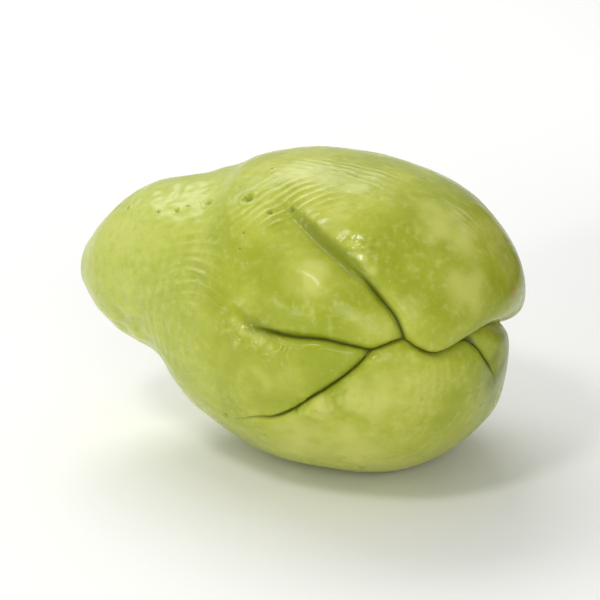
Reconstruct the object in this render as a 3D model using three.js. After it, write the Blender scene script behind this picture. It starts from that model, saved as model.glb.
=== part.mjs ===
// Chayote squash: one whole fruit lying on its side, unpeeled
// It is a single solid, pear shaped, whose blossom end is drawn into folded lobes round a mouth.
// The blossom end points to +X, the stem end to -X, up is +Z, and all sizes are in mm.

import * as THREE from "three";
import { mergeVertices } from "three/addons/utils/BufferGeometryUtils.js";

// Skin radii from the middle of the belly
// Each row holds the angle from the blossom end in degrees, then the radius at top, front, bottom and back.
const BODY_RADII = [
  [0, 45.0, 45.0, 45.0, 45.0],
  [20, 46.6, 45.4, 44.4, 45.0],
  [40, 45.2, 45.0, 44.8, 45.0],
  [60, 42.8, 44.3, 44.2, 45.0],
  [90, 41.0, 43.5, 41.7, 44.0],
  [120, 45.4, 45.0, 45.1, 44.4],
  [130, 47.4, 46.7, 46.6, 46.0],
  [140, 49.0, 49.3, 49.4, 48.5],
  [155, 61.8, 57.0, 51.9, 57.0],
  [168, 70.6, 69.5, 66.4, 69.5],
  [180, 75.0, 75.0, 75.0, 75.0],
];

// Soft swells and hollows: angle from the blossom end, angle round from the top, height, spread in degrees
const SWELLS = [
  { along: 36, round: 40, height: 1.6, spread: 26 },
  { along: 84, round: 60, height: 1.6, spread: 17 },
  { along: 88, round: 90, height: 0.8, spread: 9 },
  { along: 50, round: 112, height: 1.4, spread: 24 },
  { along: 158, round: 125, height: -1.2, spread: 9 },
  { along: 140, round: 341, height: 1.4, spread: 7 },
  { along: 149, round: 344, height: -1.2, spread: 7 },
  { along: 22, round: 280, height: 1.0, spread: 12 },
  { along: 12, round: 190, height: -1.0, spread: 9 },
  { along: 25, round: 180, height: 1.0, spread: 9 },
  { along: 113, round: 83.5, height: 1.3, spread: 4.8 },
];

// Stem scar: a shallow round pit inside a low ring, on the stem end
const SCAR_DEPTH = 1.5;
const SCAR_SPREAD = 2.3;
const SCAR_RING_HEIGHT = 0.5;
const SCAR_RING_ANGLE = 4.6;
const SCAR_RING_SPREAD = 1.5;

// Creases of the blossom end
// Each station holds the angle from the blossom end, the angle round from the top through the front,
// the radius of the rounded lips in mm and the depth in mm of the soft valley round the crease.
// The width is that of the valley. The overhang is how far the lip on the left stands proud,
// or the lip on the right where it is negative. The softness is half the width of the step between them.
const CREASES = [
  {
    name: "mouth between the upper and the lower lobe",
    width: 8,
    overhang: 0.8,
    softness: 0.6,
    stations: [
      [67, 80, 2.6, 0.6],
      [60, 76, 2.8, 0.8],
      [56, 74.5, 2.8, 0.8],
      [52, 77, 2.6, 0.8],
      [46, 79.5, 2.6, 0.8],
      [40, 78, 2.8, 1.0],
      [32, 71, 3.4, 1.6],
      [22, 60, 4.2, 2.6],
      [11, 47, 4.6, 3.4],
      [6, 350, 4.6, 4.2],
      [10, 280, 4.6, 5.2],
      [18, 258, 5.0, 5.0],
      [30, 256, 4.6, 3.4],
      [44, 268, 3.4, 1.2],
      [56, 270, 3.0, 1.0],
      [68, 268, 2.0, 0.8],
      [80, 266, 0, 0],
    ],
  },
  {
    name: "lower left branch in front",
    width: 6,
    overhang: 0.9,
    softness: 2.2,
    stations: [
      [67, 80, 2.4, 0.6],
      [72.5, 87.4, 2.4, 0.6],
      [80, 95.2, 2.4, 0.6],
      [88, 102.5, 2.2, 0.5],
      [93, 107.5, 2.0, 0.5],
      [100, 112.5, 1.3, 0.4],
      [107, 115.5, 0.9, 0.3],
      [114, 121, 0.4, 0.2],
      [121, 128, 0, 0],
    ],
  },
  {
    name: "left branch in front",
    width: 5.5,
    overhang: 0.9,
    softness: 1.0,
    stations: [
      [67, 80, 2.2, 0.6],
      [76, 79, 2.2, 0.6],
      [84, 78.2, 2.1, 0.6],
      [94, 79.2, 2.0, 1.0],
      [101, 79.4, 1.5, 1.8],
      [107, 78.8, 0.8, 2.4],
      [111.5, 76.9, 0, 1.9],
      [115.5, 74.6, 0, 0.8],
      [120, 72, 0, 0],
    ],
  },
  {
    name: "upper branch in front, fading into a groove",
    width: 5.5,
    overhang: -1.5,
    softness: 1.1,
    stations: [
      [56, 74.5, 2.4, 0.8],
      [60.5, 66, 2.2, 1.0],
      [66.5, 60, 1.8, 1.6],
      [73, 54.4, 1.0, 2.4],
      [80, 49.6, 0, 3.2],
      [87, 45, 0, 3.4],
      [93, 41.5, 0, 3.0],
      [99, 37.5, 0, 2.2],
      [106, 33, 0, 1.2],
      [113, 29, 0, 0.5],
      [121, 26, 0, 0],
    ],
  },
  {
    name: "third lobe under the mouth",
    width: 4,
    overhang: 0,
    softness: 0.6,
    stations: [
      [46, 81, 0, 0.3],
      [40, 79.5, 0.5, 0.6],
      [35, 76.5, 0.9, 0.8],
      [29.5, 75.5, 1.4, 1.0],
      [25, 79.5, 1.8, 1.0],
      [21.5, 89, 1.8, 1.0],
      [18.5, 104, 1.2, 0.6],
      [18, 118, 0.5, 0.3],
      [19, 130, 0.2, 0.1],
      [21, 142, 0, 0],
    ],
  },
  {
    name: "upper branch at the back",
    width: 7,
    overhang: 0,
    softness: 0.6,
    stations: [
      [44, 268, 2.8, 0.8],
      [52, 282, 2.6, 0.8],
      [62, 296, 2.2, 1.0],
      [76, 306, 1.6, 1.4],
      [90, 312, 0.8, 1.6],
      [104, 316, 0, 1.0],
      [116, 320, 0, 0],
    ],
  },
  {
    name: "lower branch at the back",
    width: 7,
    overhang: 0,
    softness: 0.6,
    stations: [
      [56, 270, 2.6, 0.8],
      [66, 256, 2.4, 0.8],
      [78, 246, 2.0, 0.8],
      [92, 240, 1.4, 0.8],
      [106, 236, 0.5, 0.5],
      [118, 233, 0, 0],
    ],
  },
];

// How nearly the two lips of a crease close on each other, from 0 for open to 1 for touching
const CLOSING = 0.8;

// How far beyond a lip its roll still draws the skin in, as a share of the lip's radius
const LIP_TAIL = 1.5;

// Where creases meet: the larger this power, the more the nearer crease alone decides,
// and the small weight keeps the skin beyond a lip drawn in
const MEETING = 4;
const TAIL_WEIGHT = 1e-6;

// Overhang: it is full where lip radius and valley depth add up to this many mm,
// and it reaches wider than the valley by this factor
const FULL_OVERHANG_SIZE = 3.0;
const OVERHANG_SPREAD = 1.3;

// Pose: the stem end is tipped up, and the belly is pressed flat where it rests
const PITCH = 3.5;
const FLAT_DEPTH = 1.3;
const LOWEST_ALONG = 88;

// Facets: longest edge at a crease, on the open skin, at the stem scar and at the resting spot
const EDGE_AT_CREASE = 1.8;
const EDGE_ON_SKIN = 6;
const EDGE_AT_SCAR = 1.2;
const EDGE_AT_FLAT = 2.4;

// Fine facets reach this many mm from a crease and widen over the next ones,
// widen over these degrees round the scar, and begin this many mm above the resting spot
const CREASE_BAND = 2;
const CREASE_REACH = 8;
const SCAR_REACH = 9;
const FLAT_MARGIN = 0.8;

// Only a crease with at least this lip radius or this valley depth asks for fine facets
const LEAST_LIP = 0.05;
const LEAST_VALLEY = 0.3;

// Distance between two samples of a crease, and step for measuring the slope of the skin
const CREASE_SAMPLE = 0.6;
const SLOPE_STEP = 0.004;

// Colour of the skin
const SKIN_COLOUR = "#b0b755";
const SKIN_ROUGHNESS = 0.42;

const RADIANS = Math.PI / 180;
const TINY = 1e-12;
const BLOSSOM_END = new THREE.Vector3(1, 0, 0);
const STEM_END = new THREE.Vector3(-1, 0, 0);

// Unit direction from the belly's middle
function direction(along, round) {
  const a = along * RADIANS;
  const b = round * RADIANS;
  return new THREE.Vector3(Math.cos(a), -Math.sin(a) * Math.sin(b), Math.sin(a) * Math.cos(b));
}

// Smooth curve through the rows of a table, level at both ends
function readTable(rows, angle) {
  let k = 0;
  while (k < rows.length - 2 && angle >= rows[k + 1][0]) {
    k += 1;
  }
  const width = rows[k + 1][0] - rows[k][0];
  const t = THREE.MathUtils.clamp((angle - rows[k][0]) / width, 0, 1);
  const slope = (i, column) => {
    if (i === 0 || i === rows.length - 1) {
      return 0;
    }
    return (rows[i + 1][column] - rows[i - 1][column]) / (rows[i + 1][0] - rows[i - 1][0]);
  };
  return [1, 2, 3, 4].map((column) => {
    const start = (2 * t ** 3 - 3 * t ** 2 + 1) * rows[k][column];
    const leaving = (t ** 3 - 2 * t ** 2 + t) * width * slope(k, column);
    const end = (-2 * t ** 3 + 3 * t ** 2) * rows[k + 1][column];
    const arriving = (t ** 3 - t ** 2) * width * slope(k + 1, column);
    return start + leaving + end + arriving;
  });
}

function angleBetween(a, b) {
  return Math.acos(THREE.MathUtils.clamp(a.dot(b), -1, 1)) / RADIANS;
}

// Smooth body before the creases are drawn in
function bodyPoint(dir) {
  const along = angleBetween(dir, BLOSSOM_END);
  const [top, front, bottom, back] = readTable(BODY_RADII, along);
  const side = Math.hypot(dir.y, dir.z);
  const up = side > TINY ? dir.z / side : 1;
  const forward = side > TINY ? -dir.y / side : 0;
  let radius = (top + front + bottom + back) / 4;
  radius += ((top - bottom) / 2) * up + ((front - back) / 2) * forward;
  radius += ((top + bottom - front - back) / 4) * (up * up - forward * forward);
  for (const swell of SWELLS) {
    const away = angleBetween(dir, direction(swell.along, swell.round)) / swell.spread;
    radius += swell.height * Math.exp(-away * away);
  }
  const fromScar = angleBetween(dir, STEM_END);
  radius -= SCAR_DEPTH * Math.exp(-((fromScar / SCAR_SPREAD) ** 2));
  radius += SCAR_RING_HEIGHT * Math.exp(-(((fromScar - SCAR_RING_ANGLE) / SCAR_RING_SPREAD) ** 2));
  return dir.clone().multiplyScalar(radius);
}

// Outward normal of the smooth body
function bodyNormal(dir) {
  const helper = Math.abs(dir.x) < 0.9 ? new THREE.Vector3(1, 0, 0) : new THREE.Vector3(0, 1, 0);
  const first = helper.cross(dir).normalize();
  const second = dir.clone().cross(first);
  const slope = (tangent) => {
    const ahead = bodyPoint(dir.clone().addScaledVector(tangent, SLOPE_STEP).normalize());
    const behind = bodyPoint(dir.clone().addScaledVector(tangent, -SLOPE_STEP).normalize());
    return ahead.sub(behind);
  };
  return slope(first).cross(slope(second)).normalize();
}

// Smooth curve through four rows of numbers, at t from the second row to the third
function blendRows(before, from, to, after, t) {
  return from.map((value, i) => {
    const linear = (to[i] - before[i]) * t;
    const square = (2 * before[i] - 5 * value + 4 * to[i] - after[i]) * t ** 2;
    const cube = (3 * value - before[i] - 3 * to[i] + after[i]) * t ** 3;
    return 0.5 * (2 * value + linear + square + cube);
  });
}

// Crease as closely spaced samples lying on the smooth body
function makeCrease(crease) {
  const rows = crease.stations.map(([along, round, lip, valley]) => {
    const point = bodyPoint(direction(along, round));
    return [point.x, point.y, point.z, lip, valley];
  });
  const last = rows.length - 1;
  const lead = rows[0].map((value, i) => 2 * value - rows[1][i]);
  const tail = rows[last].map((value, i) => 2 * value - rows[last - 1][i]);
  const extended = [lead, ...rows, tail];
  const blended = [];
  for (let k = 0; k < last; k += 1) {
    const from = new THREE.Vector3(...rows[k]);
    const count = Math.max(2, Math.ceil(from.distanceTo(new THREE.Vector3(...rows[k + 1])) / CREASE_SAMPLE));
    for (let i = 0; i < count; i += 1) {
      blended.push(blendRows(extended[k], extended[k + 1], extended[k + 2], extended[k + 3], i / count));
    }
  }
  blended.push(rows[last]);
  const samples = blended.map(([x, y, z, lip, valley]) => {
    const dir = new THREE.Vector3(x, y, z).normalize();
    return { dir, point: bodyPoint(dir), lip: Math.max(lip, 0), valley: Math.max(valley, 0) };
  });
  samples.forEach((sample, i) => {
    const ahead = samples[Math.min(i + 1, samples.length - 1)].point;
    const behind = samples[Math.max(i - 1, 0)].point;
    const tangent = ahead.clone().sub(behind);
    sample.length = tangent.length() / 2;
    sample.left = bodyNormal(sample.dir).cross(tangent.normalize());
  });
  return { width: crease.width, overhang: crease.overhang, softness: crease.softness, samples };
}

// Nearest place on a crease, with the lip radius there and the signed distance to its left side
function nearestOnCrease(point, crease) {
  const best = { distance: Infinity };
  const span = new THREE.Vector3();
  const place = new THREE.Vector3();
  for (let i = 0; i < crease.samples.length - 1; i += 1) {
    const from = crease.samples[i];
    const to = crease.samples[i + 1];
    span.subVectors(to.point, from.point);
    place.subVectors(point, from.point);
    const t = THREE.MathUtils.clamp(place.dot(span) / span.lengthSq(), 0, 1);
    place.copy(from.point).addScaledVector(span, t);
    const distance = place.distanceTo(point);
    if (distance < best.distance) {
      best.distance = distance;
      best.place = place.clone();
      best.lip = from.lip * (1 - t) + to.lip * t;
      best.side = point.clone().sub(place).dot(from.left);
    }
  }
  return best;
}

// Depth of the soft valley less the rise of the overhanging lip, fading smoothly to all sides
function valleyDepth(point, crease, side) {
  const wide = crease.width * OVERHANG_SPREAD;
  let valley = 0;
  let rise = 0;
  for (const sample of crease.samples) {
    const square = sample.point.distanceToSquared(point);
    valley += (sample.valley * sample.length * Math.exp(-square / crease.width ** 2)) / crease.width;
    const share = Math.min((sample.lip + sample.valley) / FULL_OVERHANG_SIZE, 1);
    rise += (share * sample.length * Math.exp(-square / wide ** 2)) / wide;
  }
  return (valley - crease.overhang * rise * Math.tanh(side / crease.softness)) / Math.sqrt(Math.PI);
}

// Two rounded lips rolling into one crease: how deep the skin drops and how far it moves inwards
function lipMotion(distance, lip) {
  if (lip < TINY) {
    return { drop: 0, inwards: 0 };
  }
  const quarter = (lip * Math.PI) / 2;
  const arc = Math.min(distance, quarter) / lip;
  const drop = lip * (1 - Math.sin(arc));
  if (distance < quarter) {
    return { drop, inwards: CLOSING * (distance - lip * (1 - Math.cos(arc))) };
  }
  const beyond = (distance - quarter) / (LIP_TAIL * lip);
  return { drop, inwards: CLOSING * (quarter - lip) * Math.exp(-beyond * beyond) };
}

// Finished skin: the smooth body with all creases drawn in
function skinPoint(dir, creases) {
  const body = bodyPoint(dir);
  const normal = bodyNormal(dir);
  const move = new THREE.Vector3();
  let weights = TINY;
  let drops = 0;
  let valleys = 0;
  for (const crease of creases) {
    const near = nearestOnCrease(body, crease);
    const { drop, inwards } = lipMotion(near.distance, near.lip);
    const towards = near.place.clone().sub(body);
    towards.addScaledVector(normal, -towards.dot(normal));
    if (towards.length() > TINY) {
      towards.setLength(inwards);
    }
    const weight = drop ** MEETING + TAIL_WEIGHT * inwards;
    move.addScaledVector(towards, weight);
    weights += weight;
    drops += drop ** MEETING;
    valleys += valleyDepth(body, crease, near.side);
  }
  const depth = drops ** (1 / MEETING) + valleys;
  return body.addScaledVector(normal, -depth).addScaledVector(move, 1 / weights);
}

// Tips the stem end up about the belly's middle
function pitched(point) {
  return point.applyAxisAngle(new THREE.Vector3(0, 1, 0), PITCH * RADIANS);
}

// Longest edge wanted at a place on the smooth body
function wantedEdge(dir, point, creases, floor) {
  let nearest = Infinity;
  for (const crease of creases) {
    for (const sample of crease.samples) {
      if (sample.lip > LEAST_LIP || sample.valley > LEAST_VALLEY) {
        nearest = Math.min(nearest, sample.point.distanceTo(point));
      }
    }
  }
  const open = THREE.MathUtils.clamp((nearest - CREASE_BAND) / CREASE_REACH, 0, 1);
  let edge = THREE.MathUtils.lerp(EDGE_AT_CREASE, EDGE_ON_SKIN, open);
  const fromScar = angleBetween(dir, STEM_END) / SCAR_REACH;
  edge = Math.min(edge, EDGE_AT_SCAR + (EDGE_ON_SKIN - EDGE_AT_SCAR) * fromScar ** 2);
  if (pitched(point.clone()).z < floor + FLAT_MARGIN) {
    edge = Math.min(edge, EDGE_AT_FLAT);
  }
  return edge;
}

// Closed ball of triangles on unit directions, split until every edge is short enough
function refinedBall(creases, floor) {
  const seed = new THREE.IcosahedronGeometry(1, 0);
  seed.deleteAttribute("normal");
  seed.deleteAttribute("uv");
  const ball = mergeVertices(seed, 1e-4);
  const position = ball.getAttribute("position");
  const dirs = [];
  for (let i = 0; i < position.count; i += 1) {
    dirs.push(new THREE.Vector3().fromBufferAttribute(position, i).normalize());
  }
  let faces = [];
  for (let i = 0; i < ball.index.count; i += 3) {
    faces.push([ball.index.getX(i), ball.index.getX(i + 1), ball.index.getX(i + 2)]);
  }
  const middles = new Map();
  const middleOf = (a, b) => {
    const key = a < b ? `${a} ${b}` : `${b} ${a}`;
    if (!middles.has(key)) {
      const dir = dirs[a].clone().add(dirs[b]).normalize();
      const point = bodyPoint(dir);
      const length = bodyPoint(dirs[a]).distanceTo(bodyPoint(dirs[b]));
      const split = length > wantedEdge(dir, point, creases, floor);
      middles.set(key, split ? dirs.push(dir) - 1 : -1);
    }
    return middles.get(key);
  };
  let splitting = true;
  while (splitting) {
    const next = [];
    for (const [a, b, c] of faces) {
      next.push(...splitFace(a, b, c, middleOf(a, b), middleOf(b, c), middleOf(c, a)));
    }
    splitting = next.length > faces.length;
    faces = next;
  }
  return { dirs, faces };
}

// Parts of one triangle whose split edges have a middle, numbered from 0, and the others -1
function splitFace(a, b, c, ab, bc, ca) {
  const count = [ab, bc, ca].filter((middle) => middle >= 0).length;
  if (count === 0) {
    return [[a, b, c]];
  }
  if (count === 3) {
    return [[a, ab, ca], [ab, b, bc], [ca, bc, c], [ab, bc, ca]];
  }
  if (count === 1) {
    if (ab < 0) {
      return splitFace(b, c, a, bc, ca, ab);
    }
    return [[a, ab, c], [ab, b, c]];
  }
  if (ca >= 0) {
    return splitFace(b, c, a, bc, ca, ab);
  }
  return [[ab, b, bc], [a, ab, bc], [a, bc, c]];
}

// Whole fruit, set down with the middle of its outline over the origin
function makeFruit() {
  const creases = CREASES.map(makeCrease);
  const lowest = pitched(bodyPoint(direction(LOWEST_ALONG, 180))).z;
  const floor = lowest + FLAT_DEPTH;
  const { dirs, faces } = refinedBall(creases, floor);
  const geometry = new THREE.BufferGeometry();
  const coordinates = [];
  for (const dir of dirs) {
    const point = pitched(skinPoint(dir, creases));
    coordinates.push(point.x, point.y, Math.max(point.z, floor));
  }
  geometry.setAttribute("position", new THREE.Float32BufferAttribute(coordinates, 3));
  geometry.setIndex(faces.flat());
  geometry.computeBoundingBox();
  const box = geometry.boundingBox;
  geometry.translate(-(box.min.x + box.max.x) / 2, -(box.min.y + box.max.y) / 2, -box.min.z);
  geometry.computeVertexNormals();
  return geometry;
}

const skin = new THREE.MeshStandardMaterial({ color: SKIN_COLOUR, roughness: SKIN_ROUGHNESS, metalness: 0 });
skin.name = "skin";

const fruit = new THREE.Mesh(makeFruit(), skin);
fruit.name = "fruit";

const group = new THREE.Group();
group.name = "chayote_squash";
group.add(fruit);

export default group;
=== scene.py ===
"""Chayote squash, finished: folded waxy skin with its wrinkles, pits and specks, in soft studio light."""

import logging
import math
from dataclasses import dataclass
from enum import Enum
from typing import Any, Callable

import bpy
import numpy as np
from mathutils import Matrix, Vector, kdtree, noise


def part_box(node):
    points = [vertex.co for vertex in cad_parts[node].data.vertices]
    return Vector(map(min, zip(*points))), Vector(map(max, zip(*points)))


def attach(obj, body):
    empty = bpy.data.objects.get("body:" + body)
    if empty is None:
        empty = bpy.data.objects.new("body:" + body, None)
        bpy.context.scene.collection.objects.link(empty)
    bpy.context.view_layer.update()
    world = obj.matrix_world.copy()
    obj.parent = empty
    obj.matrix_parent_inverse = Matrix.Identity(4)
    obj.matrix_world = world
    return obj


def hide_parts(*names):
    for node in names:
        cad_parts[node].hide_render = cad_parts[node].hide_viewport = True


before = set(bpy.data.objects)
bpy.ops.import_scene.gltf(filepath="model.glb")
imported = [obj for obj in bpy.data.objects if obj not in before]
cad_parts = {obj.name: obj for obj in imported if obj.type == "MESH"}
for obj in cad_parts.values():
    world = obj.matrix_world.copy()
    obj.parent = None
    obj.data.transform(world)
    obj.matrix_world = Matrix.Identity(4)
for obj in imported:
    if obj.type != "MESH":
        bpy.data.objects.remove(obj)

LOG = logging.getLogger("chayote")
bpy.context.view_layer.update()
MM = 0.001
CHUNK = 4096

# Node and body of the imported part
NODE = "fruit"
BODY = "root"


def linear(hex_colour: str) -> tuple[float, float, float, float]:
    """Turns an sRGB colour into the linear one that shaders take.

    Args:
        hex_colour: six hex digits after a hash sign.

    Returns:
        Red, green, blue and an alpha of one.
    """
    channels = [int(hex_colour[i:i + 2], 16) / 255 for i in (1, 3, 5)]
    toned = [c / 12.92 if c <= 0.04045 else ((c + 0.055) / 1.055) ** 2.4 for c in channels]
    return (toned[0], toned[1], toned[2], 1.0)


def direction(along: float, around: float) -> np.ndarray:
    """Gives the unit direction from the belly's middle.

    Args:
        along: angle from the blossom end in degrees.
        around: angle round the fruit from its top through its front, in degrees.

    Returns:
        A vector of three numbers.
    """
    a = math.radians(along)
    b = math.radians(around)
    return np.array([math.cos(a), -math.sin(a) * math.sin(b), math.sin(a) * math.cos(b)])


def lengths(vectors: np.ndarray) -> np.ndarray:
    """Gives each row's length as a column."""
    return np.linalg.norm(vectors, axis=1)[:, None]


def angles_from(dirs: np.ndarray, axis: np.ndarray) -> np.ndarray:
    """Gives the angle in degrees from an axis to each row of unit directions."""
    return np.degrees(np.arccos(np.clip(dirs @ axis, -1, 1)))


@dataclass(frozen=True)
class Swell:
    """A soft rise of the body."""

    along: float
    around: float
    height: float
    spread: float


@dataclass(frozen=True)
class Station:
    """A point that a crease passes, with its lip radius and valley depth in mm."""

    along: float
    around: float
    lip: float
    valley: float


@dataclass(frozen=True)
class Crease:
    """A fold of the skin: its valley's width, its left lip's rise, half the step's width, its route."""

    width: float
    overhang: float
    softness: float
    stations: tuple[Station, ...]


# Radii of the body from the belly's middle, in mm: angle from the blossom end, top, front, bottom, back
BODY_RADII = np.array([
    (0, 45.0, 45.0, 45.0, 45.0),
    (20, 46.6, 45.4, 44.4, 45.0),
    (40, 45.2, 45.0, 44.8, 45.0),
    (60, 42.8, 44.3, 44.2, 45.0),
    (90, 41.0, 43.5, 41.7, 44.0),
    (120, 45.4, 45.0, 45.1, 44.4),
    (130, 47.4, 46.7, 46.6, 46.0),
    (140, 49.0, 49.3, 49.4, 48.5),
    (155, 61.8, 57.0, 51.9, 57.0),
    (168, 70.6, 69.5, 66.4, 69.5),
    (180, 75.0, 75.0, 75.0, 75.0),
])

SWELLS = (
    Swell(36, 40, 1.6, 26),
    Swell(84, 60, 1.6, 17),
    Swell(88, 90, 0.8, 9),
    Swell(50, 112, 1.4, 24),
    Swell(158, 125, -1.2, 9),
    Swell(140, 341, 1.4, 7),
    Swell(149, 344, -1.2, 7),
    Swell(22, 280, 1.0, 12),
    Swell(12, 190, -1.0, 9),
    Swell(25, 180, 1.0, 9),
    Swell(113, 83.5, 1.3, 4.8),
)

MOUTH = Crease(8, 0.8, 0.6, (
    Station(67, 80, 2.6, 0.6),
    Station(60, 76, 2.8, 0.8),
    Station(56, 74.5, 2.8, 0.8),
    Station(52, 77, 2.6, 0.8),
    Station(46, 79.5, 2.6, 0.8),
    Station(40, 78, 2.8, 1.0),
    Station(32, 71, 3.4, 1.6),
    Station(22, 60, 4.2, 2.6),
    Station(11, 47, 4.6, 3.4),
    Station(6, 350, 4.6, 4.2),
    Station(10, 280, 4.6, 5.2),
    Station(18, 258, 5.0, 5.0),
    Station(30, 256, 4.6, 3.4),
    Station(44, 268, 3.4, 1.2),
    Station(56, 270, 3.0, 1.0),
    Station(68, 268, 2.0, 0.8),
    Station(80, 266, 0, 0),
))

LOWER_LEFT_BRANCH = Crease(6, 0.9, 2.2, (
    Station(67, 80, 2.4, 0.6),
    Station(72.5, 87.4, 2.4, 0.6),
    Station(80, 95.2, 2.4, 0.6),
    Station(88, 102.5, 2.2, 0.5),
    Station(93, 107.5, 2.0, 0.5),
    Station(100, 112.5, 1.3, 0.4),
    Station(107, 115.5, 0.9, 0.3),
    Station(114, 121, 0.4, 0.2),
    Station(121, 128, 0, 0),
))

LEFT_BRANCH = Crease(5.5, 0.9, 1.0, (
    Station(67, 80, 2.2, 0.6),
    Station(76, 79, 2.2, 0.6),
    Station(84, 78.2, 2.1, 0.6),
    Station(94, 79.2, 2.0, 1.0),
    Station(101, 79.4, 1.5, 1.8),
    Station(107, 78.8, 0.8, 2.4),
    Station(111.5, 76.9, 0, 1.9),
    Station(115.5, 74.6, 0, 0.8),
    Station(120, 72, 0, 0),
))

UPPER_BRANCH = Crease(5.5, -1.5, 1.1, (
    Station(56, 74.5, 2.4, 0.8),
    Station(60.5, 66, 2.2, 1.0),
    Station(66.5, 60, 1.8, 1.6),
    Station(73, 54.4, 1.0, 2.4),
    Station(80, 49.6, 0, 3.2),
    Station(87, 45, 0, 3.4),
    Station(93, 41.5, 0, 3.0),
    Station(99, 37.5, 0, 2.2),
    Station(106, 33, 0, 1.2),
    Station(113, 29, 0, 0.5),
    Station(121, 26, 0, 0),
))

THIRD_LOBE = Crease(4, 0, 0.6, (
    Station(46, 81, 0, 0.3),
    Station(40, 79.5, 0.5, 0.6),
    Station(35, 76.5, 0.9, 0.8),
    Station(29.5, 75.5, 1.4, 1.0),
    Station(25, 79.5, 1.8, 1.0),
    Station(21.5, 89, 1.8, 1.0),
    Station(18.5, 104, 1.2, 0.6),
    Station(18, 118, 0.5, 0.3),
    Station(19, 130, 0.2, 0.1),
    Station(21, 142, 0, 0),
))

UPPER_BACK_BRANCH = Crease(7, 0, 0.6, (
    Station(44, 268, 2.8, 0.8),
    Station(52, 282, 2.6, 0.8),
    Station(62, 296, 2.2, 1.0),
    Station(76, 306, 1.6, 1.4),
    Station(90, 312, 0.8, 1.6),
    Station(104, 316, 0, 1.0),
    Station(116, 320, 0, 0),
))

LOWER_BACK_BRANCH = Crease(7, 0, 0.6, (
    Station(56, 270, 2.6, 0.8),
    Station(66, 256, 2.4, 0.8),
    Station(78, 246, 2.0, 0.8),
    Station(92, 240, 1.4, 0.8),
    Station(106, 236, 0.5, 0.5),
    Station(118, 233, 0, 0),
))

CREASES = (MOUTH, LOWER_LEFT_BRANCH, LEFT_BRANCH, UPPER_BRANCH, THIRD_LOBE, UPPER_BACK_BRANCH,
           LOWER_BACK_BRANCH)


class CreaseCurve:
    """A crease as closely spaced samples on the smooth body."""

    SAMPLE = 0.6
    FULL_OVERHANG_SIZE = 3.0
    OVERHANG_SPREAD = 1.3
    REACH = 3.0

    def __init__(self, crease: Crease, form: "FruitForm") -> None:
        """Samples the crease.

        Args:
            crease: the crease's route and sizes.
            form: the body that it lies on.
        """
        self.crease = crease
        at = np.array([direction(s.along, s.around) for s in crease.stations])
        sizes = np.array([(s.lip, s.valley) for s in crease.stations])
        rows = self.smooth(np.hstack([form.body(at), sizes]))
        dirs = rows[:, :3] / lengths(rows[:, :3])
        self.points = form.body(dirs)
        self.lip = np.maximum(rows[:, 3], 0)
        self.valley = np.maximum(rows[:, 4], 0)
        tangents = np.vstack([
            self.points[1:2] - self.points[:1],
            self.points[2:] - self.points[:-2],
            self.points[-1:] - self.points[-2:-1],
        ])
        self.length = lengths(tangents)[:, 0] / 2
        self.left = np.cross(form.normals(dirs), tangents / lengths(tangents))

    def smooth(self, rows: np.ndarray) -> np.ndarray:
        """Runs a smooth curve through rows of numbers.

        Args:
            rows: one row for each station, its place first.

        Returns:
            Rows at about the sample distance.
        """
        lead = 2 * rows[0] - rows[1]
        tail = 2 * rows[-1] - rows[-2]
        knots = np.vstack([lead, rows, tail])
        out = []
        for k in range(len(rows) - 1):
            a, b, c, d = knots[k:k + 4]
            count = max(2, math.ceil(np.linalg.norm(c[:3] - b[:3]) / self.SAMPLE))
            t = (np.arange(count) / count)[:, None]
            square = (2 * a - 5 * b + 4 * c - d) * t**2
            cube = (3 * b - a - 3 * c + d) * t**3
            out.append(0.5 * (2 * b + (c - a) * t + square + cube))
        out.append(rows[-1:])
        return np.vstack(out)

    def near(self, points: np.ndarray) -> np.ndarray:
        """Picks the points that the crease can move.

        Args:
            points: places on the smooth body.

        Returns:
            Indices of those within the crease's reach.
        """
        sparse = self.points[::8]
        reach = self.REACH * self.crease.width
        picked = []
        for start in range(0, len(points), CHUNK):
            part = points[start:start + CHUNK]
            square = ((part[:, None] - sparse[None]) ** 2).sum(2).min(1)
            picked.append(np.nonzero(square < reach**2)[0] + start)
        return np.concatenate(picked)

    def measure(self, points: np.ndarray) -> dict[str, np.ndarray]:
        """Measures where points lie from the crease.

        Args:
            points: places on the smooth body.

        Returns:
            Distance, nearest place, lip radius and depth there, and the valley at each point.
        """
        start = self.points[:-1]
        span = self.points[1:] - start
        parts = []
        for first in range(0, len(points), CHUNK):
            part = points[first:first + CHUNK]
            offset = part[:, None] - start[None]
            t = np.clip((offset * span).sum(2) / (span**2).sum(1), 0, 1)
            gap = np.linalg.norm(offset - t[..., None] * span, axis=2)
            j = gap.argmin(1)
            i = np.arange(len(part))
            tj = t[i, j]
            place = start[j] + tj[:, None] * span[j]
            lip = self.lip[j] * (1 - tj) + self.lip[j + 1] * tj
            depth = self.valley[j] * (1 - tj) + self.valley[j + 1] * tj
            side = ((part - place) * self.left[j]).sum(1)
            square = ((part[:, None] - self.points[None]) ** 2).sum(2)
            wide = self.crease.width * self.OVERHANG_SPREAD
            valley = np.exp(-square / self.crease.width**2) @ (self.valley * self.length)
            full = np.minimum((self.lip + self.valley) / self.FULL_OVERHANG_SIZE, 1)
            rise = np.exp(-square / wide**2) @ (full * self.length) * self.crease.overhang
            valley = valley / self.crease.width / math.sqrt(math.pi)
            rise = rise / wide / math.sqrt(math.pi) * np.tanh(side / self.crease.softness)
            parts.append((gap[i, j], place, lip, depth, valley - rise))
        names = ("distance", "place", "lip", "depth", "valley")
        return {name: np.concatenate([part[k] for part in parts]) for k, name in enumerate(names)}


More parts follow.
